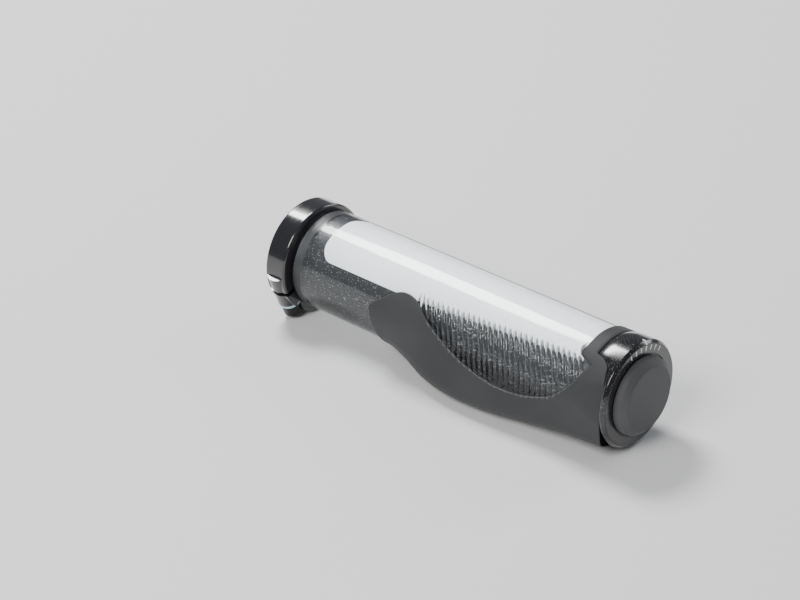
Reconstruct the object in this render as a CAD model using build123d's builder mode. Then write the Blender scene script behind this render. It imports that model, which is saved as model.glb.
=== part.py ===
from build123d import *

import os
from math import acos, cos, degrees, radians, sin, tan

# Right-hand bicycle grip, millimetres. X runs along the handlebar and points out of its open end,
# Y points to the front of the bicycle and Z points up. The origin is on the bar's axis, in the
# inboard face of the lock ring. Angles round the bar are degrees from the top towards the rider.

# handlebar that the grip fits
bar_radius = 11.1
bar_clearance = 0.03

# lengths along the bar
ring_width = 8.5
sleeve_start = 9.0
barrel_start = 12.5
grip_bore_end = 106.0
band_start = 127.5
sleeve_end = 132.0
band_end = 133.0
core_end = 136.0
web_end = 137.6
flange_start = 140.0
scale_start = 140.2
rim_end = 142.0

# radii
neck_radius = 12.9
barrel_radius = 14.2
spigot_radius = 13.2
relief_radius = 11.8
sleeve_radius = 17.0
rubber_radius = 17.5
collar_radius = 17.9
edge_round = 0.8

# damping pad let into the top of the core
pad_start = 17.9
pad_end = 127.0
pad_taper_start = 58.0
pad_bottom_radius = 12.6
pad_view = 12.0
pad_lower_angle = 57.0
pad_lower_angle_end = 43.0
pad_upper_angle = -32.0
pad_corner = 5.0

# collet slots in the neck
slot_width = 1.6
slot_length = 8.2
slot_count = 3

# rubber wing: along the bar, reach of its tip from the axis, and radius of its tip
wing_stations = (
    (44.0, 17.7, 12.0),
    (52.0, 18.4, 9.5),
    (60.0, 20.7, 7.0),
    (69.0, 23.8, 5.2),
    (80.0, 25.5, 4.2),
    (94.0, 25.2, 4.0),
    (110.0, 23.0, 4.0),
    (125.0, 21.0, 3.8),
    (139.8, 20.0, 3.0),
)
wing_tip_angle = 127.0

# edges of the rubber, drawn as they look from the rider's side: along the bar and across it
wing_view = 52.0
wave_edge = (
    (44.4, 10.0),
    (48.7, 4.8),
    (57.0, 0.2),
    (62.6, 1.0),
    (69.7, 6.2),
    (78.6, 10.9),
    (91.2, 14.9),
    (104.0, 15.9),
    (114.5, 14.0),
    (123.0, 10.3),
    (128.7, 4.5),
    (132.3, -2.1),
)
band_corner = 4.0
front_edge = ((46.0, 14.5), (62.0, 9.0), (85.0, 7.5), (108.0, 6.0), (band_start, -2.0))
view_reach = 40.0

# flat facet at the outboard end of the wing
facet_angle = 79.0
facet_start = 130.0
facet_tilt = 9.0
facet_size = 60.0

# ribs on the clear sleeve, left standing between leaning grooves
rib_pitch = 2.15
rib_count = 31
rib_first = 66.0
rib_lean = 32.0
groove_width = 0.87
rib_root = 16.5
rib_inset = 0.1
groove_floor_inset = 0.42
rib_field_edge = (
    (63.0, 1.5),
    (66.2, -6.0),
    (117.0, -6.0),
    (131.5, -2.7),
    (131.5, 17.0),
    (63.0, 17.0),
)

# lock ring and its clamp screw
ring_radius = 19.1
ring_offset = 1.4
ring_offset_angle = 75.0
ring_bore = 13.0
ring_split_angle = 110.0
ring_split = 1.6
lug_radius = 4.1
lug_distance = 17.0
lug_back = 6.5
lug_front = 6.0
washer_radius = 4.0
washer_thickness = 1.2
washer_round = 0.3
pocket_radius = 4.3
pocket_length = 10.0
clamp_screw_radius = 1.95
clamp_head_radius = 3.5
clamp_head_height = 4.0
clamp_socket = 3.0
clamp_socket_depth = 2.2
clearance_hole_radius = 2.25
thread_hole_radius = 2.0

# end collar
collar_spigot = 15.2
collar_web_bore = 11.8
collar_mouth = 14.3
collar_bore = 16.88
rim_chamfer = 0.9
tongue_start = 132.5
tongue_angle = -9.0
tongue_side = ((tongue_start, 11.4), (135.4, 11.8), (138.2, 13.4), (flange_start, 16.8))
mark_angle = -10.0
pointer_width = 0.6
pointer_length = 1.8
mark_depth = 0.3

# index ring and its scale
scale_radius = 16.8
scale_bore = 13.8
tick_count = 7
tick_pitch = 9.0
tick_inner = 14.8
tick_outer = 16.5
tick_width = 0.42

# bar-end plug
flange_radius = 14.2
flange_face = 137.75
flange_end = 140.3
hub_radius = 13.8
hub_end = 141.6
shank_radius = 8.3
shank_start = 125.0
plug_pocket_radius = 10.5
plug_pocket_floor = 138.6
plug_bore = 2.62

# expander
expander_radius = 8.4
expander_start = 114.0
expander_slot_count = 4
expander_slot_length = 8.0
cone_angle = 20.0
expander_throat = 4.2
nut_start = 108.4
nut_end = 116.4
nut_radius = 7.6
nut_bore = 2.55
nut_end_clearance = 1.93
nut_land = 1.6
key_width = 1.2
key_root = 4.5
screw_radius = 2.5
screw_tip = 110.0
screw_head_radius = 4.25
screw_head_height = 3.1
screw_socket = 4.0
screw_socket_depth = 2.0
seat_thickness = 1.0
seat_radius = 5.2
seat_gap = 0.05

# end cap
cap_radius = 12.9
cap_edge = 144.1
cap_face = 146.0
cap_face_radius = 10.7
cap_base = 141.7
cap_spigot_radius = 10.42
cap_spigot_bore = 8.4
cap_spigot_start = 139.4
cap_cavity_end = 144.2

bore_radius = bar_radius + bar_clearance


def around(radius, angle):
    """Point in a plane square to the bar, as its local X and Y."""
    return (-radius * sin(radians(angle)), radius * cos(radians(angle)))


def seen_from(angle):
    """Plane through the axis that faces outwards at the angle, with its X along the bar."""
    outwards = (0, -sin(radians(angle)), cos(radians(angle)))
    return Plane(origin=(0, 0, 0), x_dir=(1, 0, 0), z_dir=outwards)


def turned_profile(*points):
    """Face bounded by the points, each a place along the bar and a radius."""
    with BuildSketch(Plane.XY) as profile:
        with BuildLine():
            Polyline(*points, close=True)
        make_face()
    return profile.sketch


def grip_section(place, reach, tip_radius, inset):
    """Round body joined by its tangents to the circle of the wing's tip, both drawn in by the inset."""
    tip_distance = reach - tip_radius
    spread = degrees(acos((rubber_radius - tip_radius) / tip_distance))
    tip_x, tip_y = around(tip_distance, wing_tip_angle)

    def on_body(angle):
        return around(rubber_radius - inset, angle)

    def on_tip(angle):
        offset_x, offset_y = around(tip_radius - inset, angle)
        return (tip_x + offset_x, tip_y + offset_y)

    above = wing_tip_angle - spread
    below = wing_tip_angle + spread
    with BuildSketch(Plane.YZ.offset(place)) as section:
        with BuildLine():
            ThreePointArc(on_body(below), on_body(wing_tip_angle + 180), on_body(above))
            Line(on_body(above), on_tip(above))
            ThreePointArc(on_tip(above), on_tip(wing_tip_angle), on_tip(below))
            Line(on_tip(below), on_body(below))
        make_face()
    return section.sketch


def grip_shape(inset):
    """The whole outer form of the grip where it carries the wing, drawn in by the inset."""
    with BuildPart() as shape:
        for station in wing_stations:
            add(grip_section(*station, inset))
        loft()
    return shape.part


def bare_outline(edge, *way_back):
    """Outline, seen from the rider's side, that lies above a curved edge of the rubber."""
    first, last = edge[0], edge[-1]
    with BuildSketch(seen_from(wing_view)) as outline:
        with BuildLine():
            Spline(*[(place, -across) for place, across in edge])
            Polyline(
                (last[0], -last[1]),
                *way_back,
                (0, view_reach),
                (0, -first[1]),
                (first[0], -first[1]),
            )
        make_face()
    return outline.sketch


wing_outwards = seen_from(wing_view).z_dir
bare_above_wave = bare_outline(wave_edge, (band_start, band_corner), (band_start, view_reach))
bare_front = bare_outline(front_edge, (band_start, view_reach))


# ---------------------------------------------------------------- damping pad
pad_plane = seen_from(pad_view)


def pad_across(angle):
    return -barrel_radius * sin(radians(angle - pad_view))


with BuildPart() as damping_pad:
    add(
        turned_profile(
            (pad_start, pad_bottom_radius),
            (pad_end, pad_bottom_radius),
            (pad_end, barrel_radius),
            (pad_start, barrel_radius),
        )
    )
    revolve(axis=Axis.X)
    with BuildSketch(pad_plane) as pad_outline:
        with BuildLine():
            Polyline(
                (pad_start, pad_across(pad_upper_angle)),
                (pad_end, pad_across(pad_upper_angle)),
                (pad_end, pad_across(pad_lower_angle_end)),
                (pad_taper_start, pad_across(pad_lower_angle)),
                (pad_start, pad_across(pad_lower_angle)),
                close=True,
            )
        make_face()
        fillet(pad_outline.vertices().group_by(Axis.X)[0], pad_corner)
    extrude(amount=sleeve_radius, mode=Mode.INTERSECT)
damping_pad.part.label = "damping_pad"

# ---------------------------------------------------------------- core
with BuildPart() as core_sleeve:
    add(
        turned_profile(
            (0, bore_radius),
            (0, neck_radius),
            (barrel_start, neck_radius),
            (barrel_start, barrel_radius),
            (band_end, barrel_radius),
            (band_end, spigot_radius),
            (core_end, spigot_radius),
            (core_end, relief_radius),
            (grip_bore_end, relief_radius),
            (grip_bore_end, bore_radius),
        )
    )
    revolve(axis=Axis.X)
    for index in range(slot_count):
        slot_angle = ring_split_angle + index * 360 / slot_count
        with BuildSketch(seen_from(slot_angle)):
            Rectangle(2 * slot_length, slot_width)
        extrude(amount=sleeve_radius, mode=Mode.SUBTRACT)
    add(damping_pad.part, mode=Mode.SUBTRACT)
core_sleeve.part.label = "core_sleeve"

# ---------------------------------------------------------------- end collar
with BuildPart() as tongue:
    add(
        turned_profile(
            (tongue_start, collar_spigot),
            (flange_start, collar_spigot),
            (flange_start, collar_radius),
            (tongue_start, collar_radius),
        )
    )
    revolve(axis=Axis.X)
    with BuildSketch(seen_from(tongue_angle)):
        with BuildLine():
            other_side = [(place, -across) for place, across in reversed(tongue_side)]
            Polyline(*tongue_side, *other_side, close=True)
        make_face()
    extrude(amount=view_reach, mode=Mode.INTERSECT)

with BuildPart() as pointer_mark:
    add(
        turned_profile(
            (rim_end - pointer_length, collar_radius - mark_depth),
            (rim_end - pointer_length, collar_radius),
            (rim_end - rim_chamfer, collar_radius),
            (rim_end, collar_radius - rim_chamfer),
            (rim_end, collar_radius - rim_chamfer - mark_depth),
            (rim_end - rim_chamfer, collar_radius - mark_depth),
        )
    )
    revolve(axis=Axis.X)
    with BuildSketch(seen_from(mark_angle)):
        with Locations((rim_end, 0)):
            Rectangle(2 * pointer_length, pointer_width)
    extrude(amount=view_reach, mode=Mode.INTERSECT)
pointer_mark.part.label = "pointer_mark"

with BuildPart() as end_collar:
    add(
        turned_profile(
            (band_end, spigot_radius),
            (band_end, collar_spigot),
            (flange_start, collar_spigot),
            (flange_start, collar_radius),
            (rim_end - rim_chamfer, collar_radius),
            (rim_end, collar_radius - rim_chamfer),
            (rim_end, collar_bore),
            (scale_start, collar_bore),
            (scale_start, collar_mouth),
            (web_end, collar_mouth),
            (web_end, collar_web_bore),
            (core_end, collar_web_bore),
            (core_end, spigot_radius),
        )
    )
    revolve(axis=Axis.X)
    add(tongue.part)
    add(pointer_mark.part, mode=Mode.SUBTRACT)
end_collar.part.label = "end_collar"

# ---------------------------------------------------------------- palm wing
facet_plane = seen_from(facet_angle).offset(rubber_radius)
facet_side = Plane(
    origin=facet_plane.from_local_coords((facet_start, 0, 0)),
    x_dir=facet_plane.x_dir * cos(radians(facet_tilt)) - facet_plane.z_dir * sin(radians(facet_tilt)),
    z_dir=facet_plane.z_dir * cos(radians(facet_tilt)) + facet_plane.x_dir * sin(radians(facet_tilt)),
)

with BuildPart() as palm_wing:
    add(grip_shape(0))
    # room for the sleeve and for the collar's spigot
    add(
        turned_profile(
            (0, 0),
            (0, sleeve_radius),
            (sleeve_end, sleeve_radius),
            (sleeve_end, barrel_radius),
            (band_end, barrel_radius),
            (band_end, collar_spigot),
            (rim_end, collar_spigot),
            (rim_end, 0),
        )
    )
    revolve(axis=Axis.X, mode=Mode.SUBTRACT)
    add(end_collar.part, mode=Mode.SUBTRACT)
    # bare sleeve above the wave on the rider's side, and above the straighter edge in front
    extrude(bare_above_wave, amount=view_reach, dir=wing_outwards, mode=Mode.SUBTRACT)
    extrude(bare_front, amount=view_reach, dir=-wing_outwards, mode=Mode.SUBTRACT)
    # flat facet beside the collar
    with BuildSketch(facet_side):
        Rectangle(facet_size, facet_size)
    extrude(amount=view_reach, mode=Mode.SUBTRACT)
palm_wing.part.label = "palm_wing"

# ---------------------------------------------------------------- clear sleeve
with BuildPart() as grooves:
    with BuildSketch(seen_from(wing_view)):
        with Locations(*[(rib_first + index * rib_pitch, 0) for index in range(rib_count)]):
            Rectangle(groove_width, view_reach, rotation=rib_lean)
    extrude(amount=view_reach)
    add(grip_shape(groove_floor_inset), mode=Mode.SUBTRACT)

with BuildPart() as rib_field:
    add(grip_shape(rib_inset))
    with BuildSketch(seen_from(wing_view)):
        with BuildLine():
            Polyline(*[(place, -across) for place, across in rib_field_edge], close=True)
        make_face()
    extrude(amount=view_reach, mode=Mode.INTERSECT)
    extrude(bare_above_wave, amount=view_reach, dir=wing_outwards, mode=Mode.INTERSECT)
    with BuildSketch(Plane.YZ):
        Circle(rib_root)
    extrude(amount=rim_end, mode=Mode.SUBTRACT)
    add(grooves.part, mode=Mode.SUBTRACT)

with BuildPart() as clear_sleeve:
    add(
        turned_profile(
            (sleeve_start, neck_radius),
            (sleeve_start, sleeve_radius - edge_round),
            (sleeve_start + edge_round, sleeve_radius),
            (sleeve_end, sleeve_radius),
            (sleeve_end, barrel_radius),
            (barrel_start, barrel_radius),
            (barrel_start, neck_radius),
        )
    )
    revolve(axis=Axis.X)
    add(rib_field.part)
clear_sleeve.part.label = "clear_sleeve"

# ---------------------------------------------------------------- lock ring and clamp screw
lug_origin = Vector(ring_width / 2, *around(lug_distance, ring_split_angle))
lug_axis = (0, -cos(radians(ring_split_angle)), -sin(radians(ring_split_angle)))
lug_plane = Plane(origin=lug_origin, x_dir=(1, 0, 0), z_dir=lug_axis)
seat_plane = lug_plane.offset(lug_front)
head_plane = seat_plane.offset(washer_thickness)

with BuildPart() as lock_ring:
    with BuildSketch(Plane.YZ):
        with Locations(around(ring_offset, ring_offset_angle)):
            Circle(ring_radius)
    extrude(amount=ring_width)
    fillet(lock_ring.edges().filter_by(GeomType.CIRCLE), edge_round)
    with BuildSketch(lug_plane.offset(-lug_back)):
        Circle(lug_radius)
    extrude(amount=lug_back + lug_front)
    with BuildSketch(seat_plane):
        Circle(pocket_radius)
    extrude(amount=pocket_length, mode=Mode.SUBTRACT)
    with BuildSketch(lug_plane):
        Circle(clearance_hole_radius)
    extrude(amount=lug_front, mode=Mode.SUBTRACT)
    with BuildSketch(lug_plane):
        Circle(thread_hole_radius)
    extrude(amount=-lug_back, mode=Mode.SUBTRACT)
    with BuildSketch(Plane.YZ):
        Circle(ring_bore)
    extrude(amount=ring_width, mode=Mode.SUBTRACT)
    with BuildSketch(seen_from(ring_split_angle)):
        Rectangle(4 * ring_width, ring_split)
    extrude(amount=view_reach, mode=Mode.SUBTRACT)
lock_ring.part.label = "lock_ring"

with BuildPart() as clamp_washer:
    with BuildSketch(seat_plane):
        Circle(washer_radius)
        Circle(clearance_hole_radius, mode=Mode.SUBTRACT)
    extrude(amount=washer_thickness)
    fillet(clamp_washer.edges().group_by(SortBy.LENGTH)[-1], washer_round)
clamp_washer.part.label = "clamp_washer"

with BuildPart() as clamp_screw:
    with BuildSketch(head_plane.offset(seat_gap)):
        Circle(clamp_head_radius)
    extrude(amount=clamp_head_height)
    with BuildSketch(head_plane.offset(seat_gap)):
        Circle(clamp_screw_radius)
    extrude(amount=-(lug_back + lug_front + washer_thickness + seat_gap))
    with BuildSketch(head_plane.offset(seat_gap + clamp_head_height)):
        RegularPolygon(clamp_socket / 2, 6, major_radius=False)
    extrude(amount=-clamp_socket_depth, mode=Mode.SUBTRACT)
clamp_screw.part.label = "clamp_screw"

# ---------------------------------------------------------------- index ring and ticks
tick_angles = [mark_angle + (index - tick_count // 2) * tick_pitch for index in range(tick_count)]

with BuildPart() as index_ticks:
    for tick_angle in tick_angles:
        tick_plane = Plane(
            origin=(rim_end, *around((tick_inner + tick_outer) / 2, tick_angle)),
            x_dir=(0, -sin(radians(tick_angle)), cos(radians(tick_angle))),
            z_dir=(1, 0, 0),
        )
        width = pointer_width if tick_angle == mark_angle else tick_width
        with BuildSketch(tick_plane):
            Rectangle(tick_outer - tick_inner, width)
        extrude(amount=-mark_depth)
index_ticks.part.label = "index_ticks"

with BuildPart() as index_ring:
    add(
        turned_profile(
            (flange_end, scale_bore),
            (flange_end, scale_radius),
            (rim_end, scale_radius),
            (rim_end, scale_bore),
        )
    )
    revolve(axis=Axis.X)
    add(index_ticks.part, mode=Mode.SUBTRACT)
index_ring.part.label = "index_ring"

# ---------------------------------------------------------------- bar-end plug
with BuildPart() as plug_body:
    add(
        turned_profile(
            (shank_start, plug_bore),
            (shank_start, shank_radius),
            (flange_face, shank_radius),
            (flange_face, flange_radius),
            (flange_end, flange_radius),
            (flange_end, hub_radius),
            (hub_end, hub_radius),
            (hub_end, plug_pocket_radius),
            (plug_pocket_floor, plug_pocket_radius),
            (plug_pocket_floor, plug_bore),
        )
    )
    revolve(axis=Axis.X)
plug_body.part.label = "plug_body"

cone_slope = tan(radians(cone_angle))
nut_cone_start = nut_start + nut_land
nut_nose_radius = nut_radius - (nut_end - nut_cone_start) * cone_slope
mouth_radius = nut_nose_radius + nut_end_clearance
mouth_length = (mouth_radius - expander_throat) / cone_slope

with BuildPart() as expander_sleeve:
    add(
        turned_profile(
            (expander_start, mouth_radius),
            (expander_start, expander_radius),
            (shank_start, expander_radius),
            (shank_start, expander_throat),
            (expander_start + mouth_length, expander_throat),
        )
    )
    revolve(axis=Axis.X)
    for index in range(expander_slot_count):
        with BuildSketch(seen_from(index * 360 / expander_slot_count)):
            with Locations((expander_start, 0)):
                Rectangle(2 * expander_slot_length, slot_width)
        extrude(amount=sleeve_radius, mode=Mode.SUBTRACT)
expander_sleeve.part.label = "expander_sleeve"

with BuildPart() as wedge_nut:
    add(
        turned_profile(
            (nut_start, nut_bore),
            (nut_start, nut_radius),
            (nut_cone_start, nut_radius),
            (nut_end, nut_nose_radius),
            (nut_end, nut_bore),
        )
    )
    revolve(axis=Axis.X)
    with BuildSketch(Plane.YZ.offset(nut_start)):
        with Locations((0, (nut_radius + key_root) / 2)):
            Rectangle(key_width, nut_radius - key_root)
    extrude(amount=nut_end - nut_start)
wedge_nut.part.label = "wedge_nut"

seat_face = plug_pocket_floor + seat_thickness
head_start = seat_face + seat_gap
head_end = head_start + screw_head_height

with BuildPart() as screw_washer:
    add(
        turned_profile(
            (plug_pocket_floor, plug_bore),
            (plug_pocket_floor, seat_radius),
            (seat_face, seat_radius),
            (seat_face, plug_bore),
        )
    )
    revolve(axis=Axis.X)
screw_washer.part.label = "screw_washer"

with BuildPart() as expander_screw:
    add(
        turned_profile(
            (screw_tip, 0),
            (screw_tip, screw_radius),
            (head_start, screw_radius),
            (head_start, screw_head_radius),
            (head_end, screw_head_radius),
            (head_end, 0),
        )
    )
    revolve(axis=Axis.X)
    with BuildSketch(Plane.YZ.offset(head_end)):
        RegularPolygon(screw_socket / 2, 6, major_radius=False)
    extrude(amount=-screw_socket_depth, mode=Mode.SUBTRACT)
expander_screw.part.label = "expander_screw"

# ---------------------------------------------------------------- end cap
with BuildPart() as end_cap:
    add(
        turned_profile(
            (cap_spigot_start, cap_spigot_bore),
            (cap_spigot_start, cap_spigot_radius),
            (cap_base, cap_spigot_radius),
            (cap_base, cap_radius),
            (cap_edge, cap_radius),
            (cap_face, cap_face_radius),
            (cap_face, 0),
            (cap_cavity_end, 0),
            (cap_cavity_end, cap_spigot_bore),
        )
    )
    revolve(axis=Axis.X)
end_cap.part.label = "end_cap"

pieces = (
    core_sleeve,
    damping_pad,
    clear_sleeve,
    palm_wing,
    lock_ring,
    clamp_washer,
    clamp_screw,
    end_collar,
    pointer_mark,
    index_ring,
    index_ticks,
    plug_body,
    expander_sleeve,
    expander_screw,
    screw_washer,
    wedge_nut,
    end_cap,
)

os.makedirs("parts", exist_ok=True)
for piece in pieces:
    export_step(piece.part, f"parts/{piece.part.label}.step")
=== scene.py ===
import math

import bpy
import numpy as np
from mathutils import Matrix, Vector


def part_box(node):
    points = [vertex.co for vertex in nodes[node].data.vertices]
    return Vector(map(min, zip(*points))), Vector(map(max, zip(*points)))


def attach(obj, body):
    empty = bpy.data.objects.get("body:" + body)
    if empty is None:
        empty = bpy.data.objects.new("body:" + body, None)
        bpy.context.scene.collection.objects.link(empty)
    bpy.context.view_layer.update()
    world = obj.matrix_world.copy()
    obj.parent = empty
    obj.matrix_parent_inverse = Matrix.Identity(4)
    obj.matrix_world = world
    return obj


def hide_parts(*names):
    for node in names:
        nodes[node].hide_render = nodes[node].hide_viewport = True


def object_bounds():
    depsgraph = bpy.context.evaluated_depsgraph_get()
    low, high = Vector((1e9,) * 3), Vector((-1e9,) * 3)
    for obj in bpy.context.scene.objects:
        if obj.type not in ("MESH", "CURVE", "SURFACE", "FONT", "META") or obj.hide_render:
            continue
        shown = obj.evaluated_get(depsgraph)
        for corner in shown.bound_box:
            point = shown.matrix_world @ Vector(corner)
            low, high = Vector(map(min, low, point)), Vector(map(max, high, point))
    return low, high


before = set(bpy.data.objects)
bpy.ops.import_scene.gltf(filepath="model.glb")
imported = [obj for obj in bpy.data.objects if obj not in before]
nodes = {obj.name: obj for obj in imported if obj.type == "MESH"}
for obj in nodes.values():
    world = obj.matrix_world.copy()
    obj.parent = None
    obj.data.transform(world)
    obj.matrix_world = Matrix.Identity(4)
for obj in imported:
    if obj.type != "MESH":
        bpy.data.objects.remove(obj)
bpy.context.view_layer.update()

# Right-hand bicycle grip, in metres. X runs along the handlebar and out of its open end, Y to the
# front of the bicycle, Z up. "phi" is an angle round the bar in degrees, from the top towards the
# rider. "across" is a distance at right angles to the bar, as seen from the rider's side.

MM = 0.001
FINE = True

# ------------------------------------------------------------------ places taken from the frame
sleeve_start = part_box("clear_sleeve")[0][0]
pad_start, pad_end = (corner[0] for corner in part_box("damping_pad"))
wing_start, wing_end = (corner[0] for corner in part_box("palm_wing"))
RIM_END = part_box("end_collar")[1][0]
cap_lo, cap_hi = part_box("end_cap")

# ------------------------------------------------------------------ values shared with the CAD
SLEEVE_R = 17.0 * MM
RUBBER_R = 17.5 * MM
COLLAR_R = 17.9 * MM
CORE_R = 14.2 * MM
NECK_R = 12.9 * MM
BARREL_START = 12.5 * MM
SLEEVE_END = 132.0 * MM
BAND_START = 127.5 * MM
WING_TIP_ANGLE = 127.0
WING_VIEW = 52.0
# along the bar, reach of the wing's tip from the axis, radius of its tip
WING_STATIONS = np.array((
    (44.0, 17.7, 12.0),
    (52.0, 18.4, 9.5),
    (60.0, 20.7, 7.0),
    (69.0, 23.8, 5.2),
    (80.0, 25.5, 4.2),
    (94.0, 25.2, 4.0),
    (110.0, 23.0, 4.0),
    (125.0, 21.0, 3.8),
    (139.8, 20.0, 3.0),
)) * MM
# wave edge of the rubber seen from the rider's side: along the bar, across it
WAVE_EDGE = np.array((
    (44.0, 8.6),
    (48.7, 4.8),
    (57.0, 0.2),
    (62.6, 1.0),
    (69.7, 6.2),
    (78.6, 10.9),
    (91.2, 14.9),
    (104.0, 15.9),
    (114.5, 14.0),
    (123.0, 10.3),
    (128.7, 4.5),
    (132.3, -2.1),
)) * MM
BAND_CORNER = -4.0 * MM
# lower edge of the rubber on the front side: along the bar, across it
FRONT_EDGE = np.array((
    (44.0, 15.3),
    (46.0, 14.5),
    (62.0, 9.0),
    (85.0, 7.5),
    (108.0, 6.0),
    (127.5, -2.0),
)) * MM
FACET_ANGLE = 79.0
FACET_START = 130.0 * MM
FACET_TILT = 9.0
FACET_BLEND = 0.7
RIB_PITCH = 2.15 * MM
RIB_COUNT = 31
RIB_FIRST = 66.0 * MM
# upper edge of the rib field: along the bar, across it
RIB_TOP = np.array((
    (60.0, 2.4),
    (63.0, 1.0),
    (66.2, -6.0),
    (117.0, -6.0),
    (131.5, -2.9),
    (134.0, -2.4),
)) * MM
TONGUE_ANGLE = -9.0
TONGUE_SIDE = np.array(((132.5, 11.4), (135.4, 11.8), (138.2, 13.4), (140.0, 16.8))) * MM
PAD_VIEW = 12.0
PAD_UPPER_ANGLE = -32.0
PAD_LOWER_ANGLE = 57.0
PAD_LOWER_ANGLE_END = 43.0
PAD_TAPER_START = 58.0 * MM
PAD_CORNER = 5.0 * MM
PAD_BOTTOM_R = 12.6 * MM
CAP_FACE_R = 10.7 * MM
CAP_EDGE = 144.1 * MM
CAP_BASE = 141.7 * MM
CAP_SPIGOT_R = 10.42 * MM
CAP_BORE_R = 8.4 * MM
CAP_CAVITY_END = 144.2 * MM


# ------------------------------------------------------------------ small mathematics
def smoothstep(low, high, value):
    t = np.clip((value - low) / (high - low), 0, 1)
    return t * t * (3 - 2 * t)


def curve_through(table, x, column=1):
    """Smooth curve through the points of a table, read at x; flat beyond its ends."""
    xs, ys = table[:, 0], table[:, column]
    steps = np.diff(xs)
    slopes = np.diff(ys) / steps
    tangent = np.empty_like(ys)
    tangent[0], tangent[-1] = slopes[0], slopes[-1]
    tangent[1:-1] = (slopes[:-1] * steps[1:] + slopes[1:] * steps[:-1]) / (steps[:-1] + steps[1:])
    x = np.clip(x, xs[0], xs[-1])
    k = np.clip(np.searchsorted(xs, x, side="right") - 1, 0, len(steps) - 1)
    t = (x - xs[k]) / steps[k]
    h = steps[k]
    return (
        (2 * t**3 - 3 * t**2 + 1) * ys[k]
        + (t**3 - 2 * t**2 + t) * h * tangent[k]
        + (-2 * t**3 + 3 * t**2) * ys[k + 1]
        + (t**3 - t**2) * h * tangent[k + 1]
    )


def bulge_radius(x, phi, inset):
    """Radius of the grip's outer form: the body's circle joined by tangents to the wing's tip."""
    reach = curve_through(WING_STATIONS, x, 1)
    tip = curve_through(WING_STATIONS, x, 2)
    distance = reach - tip
    spread = np.arccos(np.clip((RUBBER_R - tip) / distance, -1, 1))
    side = np.abs(np.radians((phi - WING_TIP_ANGLE + 180) % 360 - 180))
    body = RUBBER_R - inset
    tip = tip - inset
    on_line = body / np.maximum(np.cos(side - spread), 0.05)
    chord = np.maximum(tip**2 - (distance * np.sin(side)) ** 2, 0)
    on_tip = distance * np.cos(side) + np.sqrt(chord)
    tip_contact = np.arctan2(tip * np.sin(spread), distance + tip * np.cos(spread))
    return np.where(side > spread, body, np.where(side > tip_contact, on_line, on_tip))


def wave_across(x):
    return curve_through(WAVE_EDGE, x)


def phi_from_across(x, across):
    """Angle of the point of the outer form that lies the given distance across."""
    phi = WING_VIEW + np.degrees(np.arcsin(np.clip(across / RUBBER_R, -1, 1)))
    for _ in range(12):
        phi = WING_VIEW + np.degrees(np.arcsin(np.clip(across / bulge_radius(x, phi, 0.0), -1, 1)))
    return phi


def wing_end_at(phi):
    """Place along the bar where the rubber stops and the collar starts."""
    away = np.abs((phi - TONGUE_ANGLE + 180) % 360 - 180)
    corner = np.degrees(np.arcsin(np.clip(TONGUE_SIDE[:, 1] / COLLAR_R, -1, 1)))
    return np.interp(away, corner, TONGUE_SIDE[:, 0])


def spread_values(low, high, step, marks=(), reach=3.0, fine=0.25):
    """Values from low to high at about one step, closer together round the marks."""
    values = [low]
    while values[-1] < high:
        near = min((abs(values[-1] - mark) for mark in marks), default=1e9)
        values.append(values[-1] + (fine if near < reach else step))
    values = np.array(values)
    return low + (values - low) * (high - low) / (values[-1] - low)


def edge_rows(count, length, fine=0.06 * MM, depth=0.6 * MM):
    """Fractions from 0 to 1 with close rows beside both ends, for rounded edges."""
    near = np.array([0, fine, 2.2 * fine, 4.2 * fine, 7 * fine, depth + 0.1 * MM]) / length
    return np.concatenate([near, np.linspace(near[-1], 1 - near[-1], count)[1:-1], 1 - near[::-1]])


# ------------------------------------------------------------------ mesh helpers
def polar(x, phi, radius):
    angle = np.radians(phi)
    x, angle, radius = np.broadcast_arrays(x, angle, radius)
    return np.stack([x, -radius * np.sin(angle), radius * np.cos(angle)], axis=-1)


def add_mesh(name, verts, faces, sharp=30.0):
    mesh = bpy.data.meshes.new(name)
    mesh.from_pydata(np.asarray(verts).tolist(), [], [tuple(int(i) for i in f) for f in faces])
    mesh.validate()
    mesh.polygons.foreach_set("use_smooth", [True] * len(mesh.polygons))
    mesh.set_sharp_from_angle(angle=math.radians(sharp))
    obj = bpy.data.objects.new(name, mesh)
    bpy.context.scene.collection.objects.link(obj)
    return obj


def grid_faces(ids, close_rows=False, close_columns=False, keep=None):
    """Quads of a grid of vertex numbers; keep marks the cells to build."""
    rows, columns = ids.shape
    faces = []
    for i in range(rows if close_rows else rows - 1):
        for j in range(columns if close_columns else columns - 1):
            if keep is None or keep[i, j]:
                a, b = ids[i, j], ids[i, (j + 1) % columns]
                c, d = ids[(i + 1) % rows, (j + 1) % columns], ids[(i + 1) % rows, j]
                corners = [a, b, c, d]
                unique = [v for n, v in enumerate(corners) if v != corners[n - 1]]
                if len(set(unique)) >= 3:
                    faces.append(tuple(unique))
    return faces


def lathe(name, profile, segments=192, sharp=30.0):
    """Closed ring, or solid where the profile touches the axis, turned from (x, radius) points."""
    phi = np.arange(segments) * 360.0 / segments
    verts, rings = [], []
    for x, radius in profile:
        if radius < 1e-9:
            rings.append(np.full(segments, len(verts)))
            verts.append((x, 0, 0))
        else:
            start = len(verts)
            rings.append(np.arange(start, start + segments))
            verts.extend(polar(x, phi, radius).tolist())
    ids = np.array(rings)
    return add_mesh(name, verts, grid_faces(ids, close_rows=True, close_columns=True), sharp)


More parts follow.
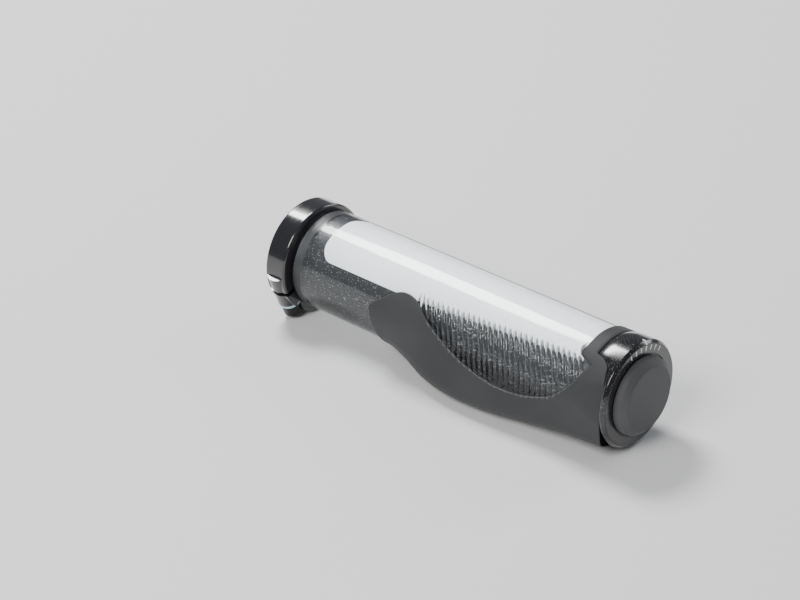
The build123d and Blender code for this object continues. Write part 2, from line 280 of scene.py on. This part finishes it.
def rounded(points, radius, steps=5):
    """Profile with each corner that has a radius turned into a short arc."""
    result = []
    for n, (corner, r) in enumerate(zip(points, radius)):
        here = np.array(corner)
        if r <= 0:
            result.append(here)
            continue
        before = np.array(points[n - 1]) - here
        after = np.array(points[(n + 1) % len(points)]) - here
        before_n, after_n = before / np.linalg.norm(before), after / np.linalg.norm(after)
        half = math.acos(np.clip(before_n @ after_n, -1, 1)) / 2
        back = r / math.tan(half)
        start, end = here + before_n * back, here + after_n * back
        inward = (before_n + after_n) / np.linalg.norm(before_n + after_n)
        centre = here + inward * r / math.sin(half)
        a, b = start - centre, end - centre
        sweep = math.acos(np.clip(a @ b / r**2, -1, 1))
        for k in range(steps + 1):
            t = k / steps
            arc = math.sin((1 - t) * sweep) * a + math.sin(t * sweep) * b
            result.append(centre + arc / math.sin(sweep))
    return [tuple(p) for p in result]


# ------------------------------------------------------------------ clear sleeve with its ribs
GLASS_OVERLAP = 0.2 * MM
GLASS_END_GAP = 0.1 * MM
RIB_HEIGHT = 0.55 * MM
RIB_HALF = 0.64 * MM
RIB_PLANE = math.radians(41.0)
RIB_SLANT = math.tan(RIB_PLANE)
RIB_COS = math.cos(RIB_PLANE)
RIB_TOP_LEAN = 0.53
RIB_TOP_START = -6.0 * MM
RIB_START = RIB_FIRST - RIB_SLANT * SLEEVE_R * math.sin(math.radians(WING_VIEW))
SLEEVE_EDGE_ROUND = 0.9 * MM
SWELL_INSET = 0.5 * MM
SWELL_FULL = 52.0 * MM
BARE_FADE = (0.25 * MM, 0.7 * MM)
RIBS_UNDER_BAND = 131.3 * MM
RIBS_UNDER_BAND_FADE = 0.6 * MM
GRID_START = 62.0 * MM
GRID_ANGLES = (22.0, 128.0)
COARSE_STEP = 1.5 * MM


def rib_height(x, across, side):
    """Height of the ribs above the sleeve: bars in parallel upright planes, with rounded ends."""
    wave = 0.05 * np.sin(across / (1.3 * MM) + x / (7.0 * MM)) * smoothstep(0, 8 * MM, across)
    along = (x + RIB_SLANT * side - RIB_START) / RIB_PITCH + wave
    index = np.clip(np.floor(along), 0, RIB_COUNT - 2)
    sideways = np.abs(along - index - 0.5) * RIB_PITCH * RIB_COS
    middle = RIB_FIRST + (index + 0.5) * RIB_PITCH
    top = np.full_like(x, RIB_TOP_START)
    for _ in range(4):
        top = np.interp(middle + RIB_TOP_LEAN * top, RIB_TOP[:, 0], RIB_TOP[:, 1])
    beyond = np.maximum(top + RIB_HALF - across, 0)
    distance = np.hypot(sideways, beyond)
    crown = np.clip(1 - (distance / RIB_HALF) ** 4, 0, 1)
    return RIB_HEIGHT * np.sqrt(crown) * smoothstep(0, 0.2, crown)


def sleeve_radius(x, phi):
    """Outer radius of the clear sleeve, which swells into the wing's flank above the wave edge."""
    swell = bulge_radius(x, phi, SWELL_INSET)
    across = swell * np.sin(np.radians(phi - WING_VIEW))
    facing = np.cos(np.radians(phi - WING_VIEW)) > 0
    below_wave = across - wave_across(x)
    bare = 1 - smoothstep(*BARE_FADE, below_wave)
    bare = np.where(facing & (x > WAVE_EDGE[0, 0]), bare, 0)
    start_fade = smoothstep(WAVE_EDGE[0, 0], SWELL_FULL, x)
    flank = SLEEVE_R + np.maximum(swell - SLEEVE_R, 0) * start_fade
    radius = SLEEVE_R + (flank - SLEEVE_R) * bare
    side = -(radius + RIB_HEIGHT) * np.sin(np.radians(phi))
    ribs = rib_height(x, across, side) * bare
    under_band = smoothstep(RIBS_UNDER_BAND_FADE, 0.0, x - RIBS_UNDER_BAND)
    return radius + ribs * under_band


def build_sleeve():
    step = 0.19 * MM if FINE else 0.5 * MM
    x_round = sleeve_start + SLEEVE_EDGE_ROUND * (1 - np.cos(np.linspace(0, math.pi / 2, 6)))
    x_outer = np.concatenate([
        x_round,
        np.arange(x_round[-1] + COARSE_STEP, GRID_START - 0.5 * MM, COARSE_STEP),
        np.arange(GRID_START, SLEEVE_END - 0.1 * MM, step),
        [SLEEVE_END],
    ])
    ribbed_low, ribbed_high = GRID_ANGLES
    phi = np.concatenate([
        np.arange(ribbed_low, ribbed_high, 0.7 if FINE else 1.5),
        np.arange(ribbed_high, ribbed_low + 360, 2.5),
    ])
    grid_x, grid_phi = np.meshgrid(x_outer, phi, indexing="ij")
    radius = sleeve_radius(grid_x, grid_phi)
    drop = np.maximum(1 - (grid_x - sleeve_start) / SLEEVE_EDGE_ROUND, 0)
    radius = radius - SLEEVE_EDGE_ROUND * (1 - np.sqrt(1 - drop**2))
    outer = polar(grid_x, grid_phi, radius)
    inner = [
        polar(x, phi, r)
        for x, r in (
            (SLEEVE_END, CORE_R - GLASS_OVERLAP),
            (BARREL_START + GLASS_END_GAP, CORE_R - GLASS_OVERLAP),
            (BARREL_START + GLASS_END_GAP, NECK_R - GLASS_OVERLAP),
            (sleeve_start, NECK_R - GLASS_OVERLAP),
        )
    ]
    grid = np.concatenate([outer, np.array(inner)])
    ids = np.arange(grid.shape[0] * grid.shape[1]).reshape(grid.shape[:2])
    return add_mesh("clear_ribbed_sleeve", grid.reshape(-1, 3), grid_faces(ids, True, True), 45.0)


# ------------------------------------------------------------------ rubber wing and band
WING_INNER_R = SLEEVE_R - 0.05 * MM
EDGE_ROUND = 0.45 * MM
EDGE_DROP = 0.38 * MM
EDGE_STEPS = np.array((0, 0.06, 0.15, 0.3, 0.5)) * MM
COLLAR_GAP = 0.12 * MM
BAND_INNER_R = 15.3 * MM
BAND_INNER_START = SLEEVE_END - 0.2 * MM
# how far the inboard end bows along the bar, at angles round it
INBOARD_ANGLES = (78.0, 86.0, 98.0, 114.0, 126.0, 176.0)
INBOARD_BOW = np.array((0.5, 0.2, 0.6, 1.7, 2.4, 2.4)) * MM
INBOARD_REACH = 22 * MM
# sides of the tongue's slot in the band, as angles from its middle; the mesh is closer beside them
TONGUE_SLOT = (-39.5, 40.5)
FAR = 99 * MM
NOTCH_END = WAVE_EDGE[-1, 0]


def cut_by_facet(points):
    """Pulls points beyond the flat facet in towards the axis, a little less close to its border."""
    angle, tilt = math.radians(FACET_ANGLE), math.radians(FACET_TILT)
    outward = np.array((0, -math.sin(angle), math.cos(angle)))
    along = np.array((1.0, 0, 0))
    normal = outward * math.cos(tilt) + along * math.sin(tilt)
    origin = outward * RUBBER_R + along * FACET_START
    centre = points.copy()
    centre[..., 1:] = 0
    height = (points - origin) @ normal
    base = (centre - origin) @ normal
    share = np.where(height > 0, -base / np.maximum(height - base, 1e-9), 1.0)
    blend = np.maximum(smoothstep(-0.3 * MM, 0.9 * MM, height), FACET_BLEND)
    blend = np.where(height > 0, blend, 0.0)
    target = centre + (points - centre) * np.minimum(share, 1.0)[..., None]
    return points + (target - points) * blend[..., None]


def build_wing():
    step = 0.8 * MM if FINE else 1.6 * MM
    start, end = wing_start, wing_end
    nominal = np.unique(np.round(np.concatenate([
        start + EDGE_STEPS,
        [start + 0.8 * MM],
        np.arange(start + 1.4 * MM, BAND_START - 0.9 * MM, step),
        BAND_START + np.array([-0.4, 0, 0.06, 0.15, 0.3, 0.5, 0.8, 1.2]) * MM,
        np.arange(BAND_START + 1.8 * MM, NOTCH_END - 0.3 * MM, 0.6 * MM),
        [NOTCH_END],
        np.linspace(NOTCH_END, end, 12)[1:-3],
        end - EDGE_STEPS[::-1],
    ]), 7))
    band_column = int(np.argmin(np.abs(nominal - BAND_START)))
    notch_column = int(np.argmin(np.abs(nominal - NOTCH_END)))

    phi_top = phi_from_across(nominal, wave_across(nominal))
    front_across = curve_through(FRONT_EDGE, nominal)
    phi_bottom = WING_VIEW + 180 - np.degrees(np.arcsin(front_across / RUBBER_R))
    phi_bottom[band_column:] = phi_bottom[band_column]
    notch_share = np.clip((nominal - BAND_START) / (NOTCH_END - BAND_START), 0, 1)
    notch_across = BAND_CORNER + (WAVE_EDGE[-1, 1] - BAND_CORNER) * notch_share
    phi_notch = WING_VIEW + np.degrees(np.arcsin(notch_across / RUBBER_R))
    phi_top[notch_column:] = phi_notch[notch_column:] = phi_top[notch_column]

    wing_rows = edge_rows(110 if FINE else 50, 45 * MM)
    columns = len(nominal)
    seam = phi_bottom[band_column]
    tongue_marks = [TONGUE_ANGLE + 360 + side for side in TONGUE_SLOT]
    band_phi = spread_values(seam, 360 + phi_notch[notch_column], 1.6, tongue_marks, 2.5, 0.2)
    band_share = (band_phi - band_phi[0]) / (band_phi[-1] - band_phi[0])

    phi = np.zeros((columns, len(wing_rows) + len(band_share) - 1))
    for i in range(columns):
        phi[i, : len(wing_rows)] = phi_top[i] + (phi_bottom[i] - phi_top[i]) * wing_rows
        phi[i, len(wing_rows) - 1 :] = seam + (360 + phi_notch[i] - seam) * band_share
        phi[i, len(wing_rows) - 1] = phi_bottom[i]
    x = np.repeat(nominal[:, None], phi.shape[1], axis=1)
    beyond = np.maximum(nominal - NOTCH_END, 0) / (end - NOTCH_END)
    stretched = NOTCH_END + beyond[:, None] * (wing_end_at(phi) - COLLAR_GAP - NOTCH_END)
    x = np.where(nominal[:, None] > NOTCH_END, stretched, x)
    # the inboard end bows a little
    bow = np.interp(phi, INBOARD_ANGLES, INBOARD_BOW)
    bow = np.where(nominal[:, None] < start + INBOARD_REACH, bow, 0)
    x = x + bow * smoothstep(start + INBOARD_REACH, start, x)

    outer_r = bulge_radius(x, phi, 0.0)
    # distance to the nearest free border, for the soft edge
    arc = outer_r * np.radians(1.0)
    in_wing = np.arange(phi.shape[1])[None, :] < len(wing_rows)
    before_notch = nominal[:, None] <= NOTCH_END
    before_band = nominal[:, None] < BAND_START
    to_top = np.where(in_wing & before_notch, (phi - phi_top[:, None]) * arc, FAR)
    slope = np.abs(np.gradient(phi_top, nominal)) * np.radians(1.0) * RUBBER_R
    to_top = to_top / np.sqrt(1 + slope[:, None] ** 2)
    to_bottom = np.where(in_wing & before_band, (phi_bottom[:, None] - phi) * arc, FAR)
    to_notch = np.where(~in_wing & before_notch, (360 + phi_notch[:, None] - phi) * arc, FAR)
    to_start = np.where(in_wing, x - x[0:1, :], FAR)
    to_band = np.where(~in_wing, x - BAND_START, FAR)
    to_end = wing_end_at(phi) - COLLAR_GAP - x
    distances = (to_top, to_bottom, to_notch, to_start, to_band, to_end)
    border = np.minimum.reduce([np.abs(distance) for distance in distances])
    lip = np.clip(1 - border / EDGE_ROUND, 0, 1)
    drop = EDGE_DROP * (1 - np.sqrt(1 - lip**2))

    outer = cut_by_facet(polar(x, phi, outer_r))
    length = np.linalg.norm(outer[..., 1:], axis=-1)
    outer[..., 1:] *= ((length - drop) / length)[..., None]
    inner = polar(x, phi, np.where(x > BAND_INNER_START, BAND_INNER_R, WING_INNER_R))

    keep = np.zeros((columns - 1, phi.shape[1] - 1), bool)
    keep[:, : len(wing_rows) - 1] = True
    keep[band_column:, :] = True

    total = phi.size
    ids = np.arange(total).reshape(phi.shape)
    ids[notch_column:, -1] = ids[notch_column:, 0]
    faces = grid_faces(ids, keep=keep)
    both = list(faces) + [tuple(v + total for v in reversed(f)) for f in faces]
    # walls round every free border
    count = {}
    for face in faces:
        for a, b in zip(face, face[1:] + face[:1]):
            count[(a, b)] = count.get((a, b), 0) + 1
    for a, b in count:
        if (b, a) not in count:
            both.append((b, a, a + total, b + total))
    verts = np.concatenate([outer.reshape(-1, 3), inner.reshape(-1, 3)])
    used = sorted({v for f in both for v in f})
    renumber = {v: n for n, v in enumerate(used)}
    both = [tuple(renumber[v] for v in f) for f in both]
    wing = add_mesh("rubber_palm_wing", verts[used], both, 50.0)
    # the inner faces and the walls round the borders take the near-black second material: painted
    # shade, so the wing's walls seen through the clear sleeve stay dark
    painted_shade_faces = np.zeros(len(both), dtype=np.int32)
    painted_shade_faces[len(faces) :] = 1
    return wing, painted_shade_faces


# ------------------------------------------------------------------ end collar
# half the width of the tongue's root, as an angle
TONGUE_HALF = 40.3
COLLAR_SPIGOT_R = 15.3 * MM
COLLAR_SEAT = 139.0 * MM
# share of the way from the rubber to the rim, and radius there in mm
COLLAR_SHOULDER = (
    (0.0, 17.15),
    (0.03, 17.35),
    (0.08, 17.5),
    (0.2, 17.72),
    (0.33, 17.84),
    (0.4, 17.86),
)
# rim in mm: place along the bar from the part's end, radius, rounding of the corner
COLLAR_RIM = (
    (-1.3, 17.86, 0.0),
    (-0.9, 17.86, 0.5),
    (-0.02, 16.98, 0.03),
    (-0.02, 16.88, 0.03),
    (-1.8, 16.88, 0.0),
)


def build_collar():
    marks = [TONGUE_ANGLE + 360 + side for side in (-TONGUE_HALF, TONGUE_HALF)]
    phi = spread_values(180.0, 540.0, 1.5, marks, 2.5, 0.2)[:-1]
    edge = wing_end_at(phi)
    rim = rounded([(x, r) for x, r, _ in COLLAR_RIM], [corner for _, _, corner in COLLAR_RIM], 6)
    rows = [polar(edge, phi, COLLAR_SPIGOT_R)]
    rows += [polar(edge + share * (RIM_END - edge), phi, r * MM) for share, r in COLLAR_SHOULDER]
    rows += [polar(RIM_END + x * MM, phi, r * MM) for x, r in rim[1:]]
    rows.append(polar(COLLAR_SEAT, phi, COLLAR_SPIGOT_R))
    grid = np.array(rows)
    ids = np.arange(grid.shape[0] * grid.shape[1]).reshape(grid.shape[:2])
    return add_mesh("end_collar_shell", grid.reshape(-1, 3), grid_faces(ids, True, True), 40.0)


# ------------------------------------------------------------------ damping pad and end cap
TEETH_START = 60.0 * MM
TOOTH_LENGTH = 3.6 * MM
TOOTH_POWER = 1.3
TOOTH_ROOT = 0.35
PAD_EDGE_ROUND = 0.5 * MM
PAD_PROUD = 0.03 * MM
PAD_EDGE_DROP = 0.02 * MM


def build_pad():
    """White pad; its lower edge is toothed where it lies under the ribs."""
    x = np.concatenate([
        pad_start + PAD_CORNER * (1 - np.cos(np.linspace(0, math.pi / 2, 12))),
        np.arange(pad_start + PAD_CORNER + 1 * MM, TEETH_START, 1.5 * MM),
        np.arange(TEETH_START, pad_end, 0.18 * MM),
        [pad_end],
    ])
    lower_angle = np.interp(x, (PAD_TAPER_START, pad_end), (PAD_LOWER_ANGLE, PAD_LOWER_ANGLE_END))
    lower = CORE_R * np.sin(np.radians(lower_angle - PAD_VIEW))
    upper = CORE_R * np.sin(np.radians(PAD_UPPER_ANGLE - PAD_VIEW)) * np.ones_like(x)
    into_corner = np.clip(PAD_CORNER - (x - pad_start), 0, PAD_CORNER)
    inset = PAD_CORNER - np.sqrt(PAD_CORNER**2 - into_corner**2)
    lower_side = -CORE_R * np.sin(np.radians(lower_angle))
    phase = (x + RIB_SLANT * lower_side - RIB_START) / RIB_PITCH
    beside_groove = np.abs(phase - np.round(phase)) * 2
    teeth = TOOTH_LENGTH * ((1 - beside_groove) ** TOOTH_POWER - TOOTH_ROOT)
    teeth = teeth * smoothstep(TEETH_START, TEETH_START + 3 * MM, x)
    low_edge = (lower - inset - teeth)[:, None]
    top_edge = (upper + inset)[:, None]
    across = top_edge + (low_edge - top_edge) * edge_rows(40, 20 * MM)
    phi = PAD_VIEW + np.degrees(np.arcsin(across / CORE_R))
    lean = smoothstep(8 * MM, 2 * MM, lower[:, None] - across)
    shift = RIB_SLANT * (CORE_R * np.sin(np.radians(phi)) + lower_side[:, None]) * lean
    shift = shift * smoothstep(TEETH_START, TEETH_START + 6 * MM, x)[:, None]
    place = np.minimum(x[:, None] + shift, pad_end)
    border = np.minimum(across - top_edge, low_edge - across)
    border = np.minimum(border, (x - pad_start)[:, None])
    lip = np.clip(1 - border / PAD_EDGE_ROUND, 0, 1)
    top = polar(place, phi, CORE_R + PAD_PROUD - PAD_EDGE_DROP * (1 - np.sqrt(1 - lip**2)))
    bottom = polar(place, phi, PAD_BOTTOM_R + 0.05 * MM)
    ids = np.arange(phi.size).reshape(phi.shape)
    faces = grid_faces(ids)
    both = list(faces) + [tuple(v + phi.size for v in reversed(f)) for f in faces]
    edges = {(a, b) for f in faces for a, b in zip(f, f[1:] + f[:1])}
    both += [(b, a, a + phi.size, b + phi.size) for a, b in sorted(edges) if (b, a) not in edges]
    verts = np.concatenate([top.reshape(-1, 3), bottom.reshape(-1, 3)])
    return add_mesh("white_damping_pad", verts, both, 40.0)


def build_cap():
    # along the bar, radius, rounding of the corner
    corners = (
        (cap_lo[0], CAP_BORE_R, 0),
        (cap_lo[0], CAP_SPIGOT_R, 0.3 * MM),
        (CAP_BASE, CAP_SPIGOT_R, 0),
        (CAP_BASE, cap_hi[2], 0.25 * MM),
        (CAP_EDGE, cap_hi[2], 0.5 * MM),
        (cap_hi[0] - 0.05 * MM, CAP_FACE_R, 0.7 * MM),
        (cap_hi[0], 0, 0),
        (CAP_CAVITY_END, 0, 0),
        (CAP_CAVITY_END, CAP_BORE_R, 0),
    )
    profile = rounded([corner[:2] for corner in corners], [corner[2] for corner in corners], 6)
    return lathe("rubber_end_cap", profile, 160, 40.0)


sleeve = build_sleeve()
wing, wing_painted_shade_faces = build_wing()
collar = build_collar()
pad = build_pad()
cap = build_cap()

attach(sleeve, "grip")
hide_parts("clear_sleeve")
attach(wing, "grip")
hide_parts("palm_wing")
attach(collar, "grip")
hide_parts("end_collar")
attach(pad, "grip")
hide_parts("damping_pad")
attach(cap, "end_cap")
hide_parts("end_cap")


# ------------------------------------------------------------------ materials
def material(name, color, roughness=0.5, metallic=0.0, **sockets):
    mat = bpy.data.materials.new(name)
    mat.use_nodes = True
    tree = mat.node_tree
    shader = tree.nodes["Principled BSDF"]
    shader.inputs["Base Color"].default_value = (*color, 1)
    shader.inputs["Roughness"].default_value = roughness
    shader.inputs["Metallic"].default_value = metallic
    for key, value in sockets.items():
        shader.inputs[key.replace("_", " ")].default_value = value
    return mat, tree, shader


def add_node(tree, kind, settings=None, links=None, **inputs):
    node = tree.nodes.new(kind)
    for key, value in (settings or {}).items():
        setattr(node, key, value)
    for key, value in inputs.items():
        node.inputs[key.replace("_", " ")].default_value = value
    for key, source in (links or {}).items():
        tree.links.new(source, node.inputs[key])
    return node


def noise(tree, scale, detail=2.0, rough=0.5, stretch=None):
    place = add_node(tree, "ShaderNodeTexCoord").outputs["Object"]
    if stretch:
        place = add_node(
            tree, "ShaderNodeMapping", links={"Vector": place}, Scale=stretch
        ).outputs["Vector"]
    return add_node(
        tree, "ShaderNodeTexNoise", links={"Vector": place},
        Scale=scale, Detail=detail, Roughness=rough,
    )


def ramp(tree, source, low, high, from_value, to_value):
    """Maps a value between two limits onto two others."""
    return add_node(
        tree, "ShaderNodeMapRange", {"clamp": True}, {"Value": source},
        From_Min=low, From_Max=high, To_Min=from_value, To_Max=to_value,
    ).outputs["Result"]


def bump(tree, shader, source, height, strength=1.0):
    node = add_node(
        tree, "ShaderNodeBump", links={"Height": source}, Strength=strength, Distance=height
    )
    tree.links.new(node.outputs["Normal"], shader.inputs["Normal"])


def mix_color(tree, factor, low, high):
    node = add_node(tree, "ShaderNodeMix", {"data_type": "RGBA"}, {"Factor": factor})
    node.inputs["A"].default_value = (*low, 1)
    node.inputs["B"].default_value = (*high, 1)
    return node.outputs["Result"]


def vary_roughness(tree, shader, source, low, high):
    value = ramp(tree, source.outputs["Fac"], 0.3, 0.7, low, high)
    tree.links.new(value, shader.inputs["Roughness"])


def rubber(name, color, lighter, grain=2600.0, roughness=0.62, shine=0.35, sheen=0.06):
    mat, tree, shader = material(
        name, color, roughness, Specular_IOR_Level=shine, Sheen_Weight=sheen, Sheen_Roughness=0.5
    )
    grains = noise(tree, grain, 3.0, 0.6)
    broad = noise(tree, 45.0, 3.0, 0.55)
    share = ramp(tree, broad.outputs["Fac"], 0.35, 0.65, 0, 1)
    tree.links.new(mix_color(tree, share, color, lighter), shader.inputs["Base Color"])
    vary_roughness(tree, shader, broad, roughness - 0.05, roughness + 0.06)
    bump(tree, shader, grains.outputs["Fac"], 0.06 * MM, 0.55)
    return mat


def flecked_black(name, color, fleck, roughness, coat, scale=1900.0, low=0.66, high=0.72):
    mat, tree, shader = material(
        name, color, roughness, Coat_Weight=coat, Coat_Roughness=0.12, Specular_IOR_Level=0.5
    )
    flecks = noise(tree, scale, 1.0, 0.5)
    share = ramp(tree, flecks.outputs["Fac"], low, high, 0, 1)
    tree.links.new(mix_color(tree, share, color, fleck), shader.inputs["Base Color"])
    vary_roughness(tree, shader, noise(tree, 60.0, 4.0, 0.6), roughness - 0.04, roughness + 0.06)
    return mat


def clear_plastic(name, color, cloudy, shadow):
    """Clear plastic, cloudy over the neck at its inboard end, with a light shadow."""
    mat, tree, shader = material(
        name, color, 0.04, Transmission_Weight=1.0, IOR=1.45, Specular_IOR_Level=0.5
    )
    place = add_node(tree, "ShaderNodeTexCoord").outputs["Object"]
    along = add_node(tree, "ShaderNodeSeparateXYZ", links={"Vector": place}).outputs["X"]
    haze = ramp(tree, along, BARREL_START + 1.2 * MM, BARREL_START - 0.2 * MM, 0.0, 1.0)
    tree.links.new(ramp(tree, haze, 0, 1, 0.1, 0.45), shader.inputs["Roughness"])
    tree.links.new(mix_color(tree, haze, color, cloudy), shader.inputs["Base Color"])
    soft = noise(tree, 220.0, 3.0, 0.5)
    bump(tree, shader, soft.outputs["Fac"], 0.02 * MM, 0.25)
    through = add_node(tree, "ShaderNodeBsdfTransparent")
    through.inputs["Color"].default_value = (*shadow, 1)
    light = add_node(tree, "ShaderNodeLightPath")
    mix = add_node(tree, "ShaderNodeMixShader", links={"Fac": light.outputs["Is Shadow Ray"]})
    tree.links.new(shader.outputs["BSDF"], mix.inputs[1])
    tree.links.new(through.outputs["BSDF"], mix.inputs[2])
    tree.links.new(mix.outputs["Shader"], tree.nodes["Material Output"].inputs["Surface"])
    return mat


def turned_metal(name, color, roughness, metallic=1.0, coat=0.0):
    mat, tree, shader = material(
        name, color, roughness, metallic, Coat_Weight=coat, Coat_Roughness=0.08
    )
    lines = noise(tree, 900.0, 2.0, 0.5, (6.0, 0.25, 0.25))
    vary_roughness(tree, shader, lines, max(roughness - 0.05, 0.03), roughness + 0.08)
    bump(tree, shader, lines.outputs["Fac"], 0.01 * MM, 0.15)
    return mat


def plain(name, color, roughness, **sockets):
    mat, tree, shader = material(name, color, roughness, **sockets)
    fine = noise(tree, 1500.0, 2.0, 0.5)
    vary_roughness(tree, shader, fine, roughness - 0.05, roughness + 0.05)
    bump(tree, shader, fine.outputs["Fac"], 0.02 * MM, 0.2)
    return mat


def dress(obj, mat):
    obj.data.materials.clear()
    obj.data.materials.append(mat)


dark_rubber = rubber("dark_rubber", (0.026, 0.027, 0.029), (0.036, 0.037, 0.039))
# near-black matt rubber with no shine or sheen: painted shade for the wing's inner faces and walls
# seen through the clear sleeve
painted_shade_rubber = rubber(
    "painted_shade_rubber", (0.004, 0.004, 0.005), (0.006, 0.006, 0.007),
    roughness=0.9, shine=0.0, sheen=0.0,
)
cap_rubber = rubber("cap_rubber", (0.055, 0.056, 0.058), (0.07, 0.071, 0.073), 2200.0)
core_black = flecked_black(
    "core_nylon", (0.014, 0.015, 0.017), (0.34, 0.35, 0.37), 0.36, 0.2, 2500.0, 0.645, 0.74
)
gloss_black = flecked_black(
    "gloss_black", (0.006, 0.006, 0.007), (0.16, 0.16, 0.17), 0.16, 0.5, 2600.0, 0.64, 0.72
)
plug_black = flecked_black("plug_nylon", (0.012, 0.012, 0.013), (0.1, 0.1, 0.11), 0.4, 0.1)
ring_black = turned_metal("black_anodised", (0.012, 0.012, 0.014), 0.16, 0.0, 0.8)
screw_black = turned_metal("black_steel", (0.03, 0.03, 0.03), 0.32, 0.7)
zinc = turned_metal("zinc_steel", (0.62, 0.62, 0.63), 0.28)
brass = turned_metal("nut_brass", (0.72, 0.52, 0.25), 0.3)
white_elastomer = plain(
    "white_elastomer", (0.86, 0.87, 0.88), 0.55,
    Subsurface_Weight=0.15, Subsurface_Radius=(0.002, 0.002, 0.002),
)
blue_plastic = plain("blue_nylon", (0.50, 0.68, 0.76), 0.4)
white_ink = plain("white_ink", (0.85, 0.85, 0.85), 0.5)
clear = clear_plastic("clear_elastomer", (0.93, 0.96, 0.98), (0.86, 0.9, 0.93), (0.9, 0.93, 0.95))

dress(sleeve, clear)
dress(wing, dark_rubber)
# second material: painted shade on the wing's inner faces and border walls
wing.data.materials.append(painted_shade_rubber)
wing.data.polygons.foreach_set("material_index", wing_painted_shade_faces)
dress(collar, gloss_black)
dress(pad, white_elastomer)
dress(cap, cap_rubber)
for node_name, mat in (
    ("core_sleeve", core_black),
    ("lock_ring", ring_black),
    ("clamp_washer", blue_plastic),
    ("clamp_screw", screw_black),
    ("pointer_mark", white_ink),
    ("index_ring", gloss_black),
    ("index_ticks", white_ink),
    ("plug_body", plug_black),
    ("expander_sleeve", plug_black),
    ("expander_screw", zinc),
    ("screw_washer", zinc),
    ("wedge_nut", brass),
):
    dress(nodes[node_name], mat)

# ------------------------------------------------------------------ floor, light and camera
FLOOR_GAP = 0.3 * MM

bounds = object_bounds()
centre = Vector([(lo + hi) / 2 for lo, hi in zip(*bounds)])
floor_z = bounds[0][2] - FLOOR_GAP

bpy.ops.mesh.primitive_plane_add(size=8, location=(centre.x, centre.y, floor_z))
floor = bpy.context.object
floor.name = "studio_floor"
floor.data.materials.append(material("studio_floor", (0.78, 0.78, 0.78), 0.7)[0])

world = bpy.data.worlds.new("studio")
bpy.context.scene.world = world
world.use_nodes = True
backdrop = world.node_tree.nodes["Background"]
backdrop.inputs["Color"].default_value = (0.9, 0.93, 1.0, 1)
backdrop.inputs["Strength"].default_value = 0.22


def softbox(name, direction, distance, size, energy, color=(1, 1, 1)):
    data = bpy.data.lights.new(name, "AREA")
    data.shape = "RECTANGLE"
    data.size, data.size_y = size
    data.energy = energy
    data.color = color
    lamp = bpy.data.objects.new(name, data)
    bpy.context.scene.collection.objects.link(lamp)
    towards = Vector(direction).normalized()
    lamp.location = centre + towards * distance
    lamp.rotation_euler = towards.to_track_quat("Z", "Y").to_euler()


softbox("key", (-0.566, 0.18, 0.80), 1.2, (0.4, 0.3), 17)
softbox("fill", (0.1, -0.85, 0.75), 1.3, (0.7, 0.5), 15, (1.0, 0.99, 0.97))
softbox("rim", (0.3, 0.9, 0.45), 1.2, (0.5, 0.5), 4, (0.9, 0.95, 1.0))
softbox("under_fill", (0.2, -0.8, -0.05), 1.2, (0.9, 0.25), 2)

# angles in degrees, distances in metres, lens and sensor in mm
CAMERA_AZIMUTH = 41.0
CAMERA_ELEVATION = 30.3
CAMERA_DISTANCE = 0.8092
CAMERA_TARGET_X = 0.074
CAMERA_LENS = 112.6
SENSOR_WIDTH = 36.0
# small turns of the camera away from its target
TURN_ASIDE = 1.65
TURN_UP = 0.49

azimuth = math.radians(CAMERA_AZIMUTH)
elevation = math.radians(CAMERA_ELEVATION)
back = Vector((
    math.cos(elevation) * math.sin(azimuth),
    -math.cos(elevation) * math.cos(azimuth),
    math.sin(elevation),
))
right = Vector((0, 0, 1)).cross(back).normalized()
up = back.cross(right)
place = Vector((CAMERA_TARGET_X, 0, 0)) + back * CAMERA_DISTANCE
axes = Matrix((right, up, back)).transposed().to_4x4()
turn_aside = Matrix.Rotation(math.radians(TURN_ASIDE), 4, "Y")
turn_up = Matrix.Rotation(math.radians(TURN_UP), 4, "X")
camera_data = bpy.data.cameras.new("camera")
camera_data.lens = CAMERA_LENS
camera_data.sensor_width = SENSOR_WIDTH
camera_data.clip_start = 0.01
camera = bpy.data.objects.new("camera", camera_data)
bpy.context.scene.collection.objects.link(camera)
camera.matrix_world = Matrix.Translation(place) @ axes @ turn_aside @ turn_up
bpy.context.scene.camera = camera
